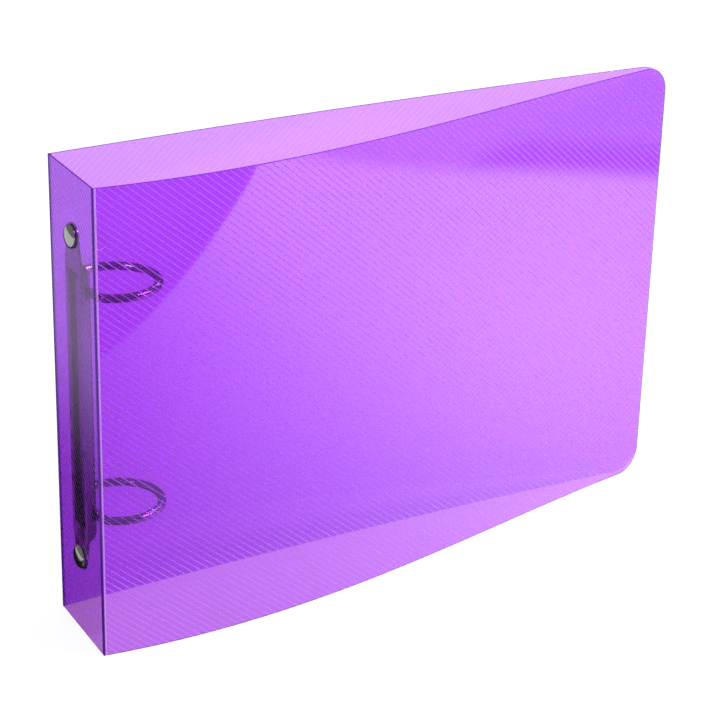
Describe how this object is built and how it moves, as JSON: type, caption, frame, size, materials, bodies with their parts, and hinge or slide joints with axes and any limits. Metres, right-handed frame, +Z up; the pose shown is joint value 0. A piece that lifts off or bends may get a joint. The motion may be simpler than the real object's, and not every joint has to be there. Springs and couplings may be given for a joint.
{
  "type": "ring binder",
  "caption": "Landscape ring binder: translucent plastic covers and spine from one creased sheet, with an arched steel mechanism of opening wire rings riveted inside the spine.",
  "frame": {"origin": "centre of the spine's foot, in the middle of the sheet's thickness", "axes": "+X from the spine to the fore-edges, +Y from the front cover to the back cover, +Z up"},
  "size_m": [0.2483, 0.046, 0.167],
  "materials": {
    "sheet": "translucent violet polypropylene with a fine embossed diagonal line pattern, glossy",
    "nickel": "bright nickel plate"
  },
  "bodies": {
    "spine": {"spine_panel": "sheet", "front_crease": "sheet", "back_crease": "sheet", "ring_housing": "nickel", "upper_rivet": "nickel", "lower_rivet": "nickel"},
    "front_cover": {"front_cover": "sheet"},
    "back_cover": {"back_cover": "sheet"},
    "front_rail": {"front_rail": "nickel", "upper_front_half_ring": "nickel", "lower_front_half_ring": "nickel"},
    "rear_rail": {"rear_rail": "nickel", "upper_rear_half_ring": "nickel", "lower_rear_half_ring": "nickel"}
  },
  "joints": [
    {"name": "front_cover_hinge", "type": "hinge", "parent": "spine", "child": "front_cover", "pos_m": [0, -0.0188, 0.0835], "axis": [0, 0, -1], "range_deg": [0, 180]},
    {"name": "back_cover_hinge", "type": "hinge", "parent": "spine", "child": "back_cover", "pos_m": [0, 0.0188, 0.0835], "axis": [0, 0, 1], "range_deg": [0, 180]},
    {"name": "front_rail_pivot", "type": "hinge", "parent": "spine", "child": "front_rail", "pos_m": [0.002, -0.00565, 0.087], "axis": [0, 0, -1], "range_deg": [0, 12]},
    {"name": "rear_rail_pivot", "type": "hinge", "parent": "spine", "child": "rear_rail", "pos_m": [0.002, 0.00565, 0.087], "axis": [0, 0, 1], "range_deg": [0, 12]}
  ],
  "couplings": [
    {"joint": "rear_rail_pivot", "follows": "front_rail_pivot", "ratio": 1}
  ]
}
